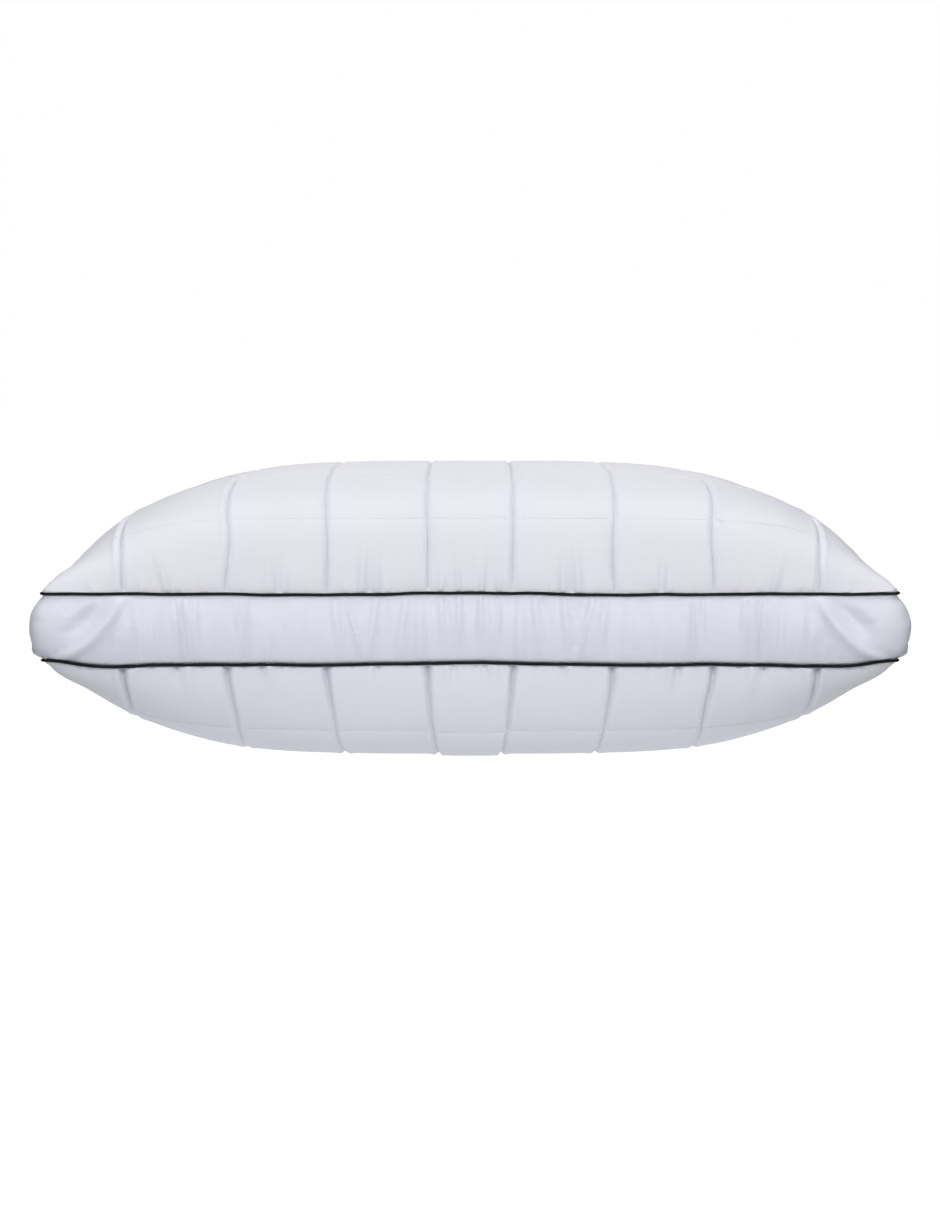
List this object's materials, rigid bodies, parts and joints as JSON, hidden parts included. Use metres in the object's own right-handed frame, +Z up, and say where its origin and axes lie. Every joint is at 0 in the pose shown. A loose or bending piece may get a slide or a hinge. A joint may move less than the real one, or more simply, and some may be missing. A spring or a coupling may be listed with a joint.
{
  "type": "bed pillow",
  "caption": "Quilted bed pillow with a plain gusset between two corded black pipings and a loose fibre filling, lying flat.",
  "frame": {"origin": "centre of the underside, on the surface the pillow rests on", "axes": "+X along the pillow's length, +Y along its depth, +Z up through its thickness"},
  "size_m": [0.6608, 0.5082, 0.2316],
  "materials": {
    "panel_cloth": "fine matte white woven cloth with a faint sheen",
    "gusset_cloth": "fine cool white woven cloth, unquilted",
    "piping_cloth": "black satin-weave cloth",
    "filler_cord": "undyed twisted cotton cord",
    "wadding": "thin lofty polyester wadding",
    "backing": "thin nonwoven backing",
    "fibre": "loose white polyester fibre"
  },
  "bodies": {
    "root": {"top_panel_shell": "panel_cloth", "top_panel_wadding": "wadding", "top_panel_backing": "backing", "bottom_panel_shell": "panel_cloth", "bottom_panel_wadding": "wadding", "bottom_panel_backing": "backing", "gusset_band": "gusset_cloth", "top_piping_cover": "piping_cloth", "top_piping_cord": "filler_cord", "bottom_piping_cover": "piping_cloth", "bottom_piping_cord": "filler_cord", "fibre_fill": "fibre"}
  },
  "joints": []
}
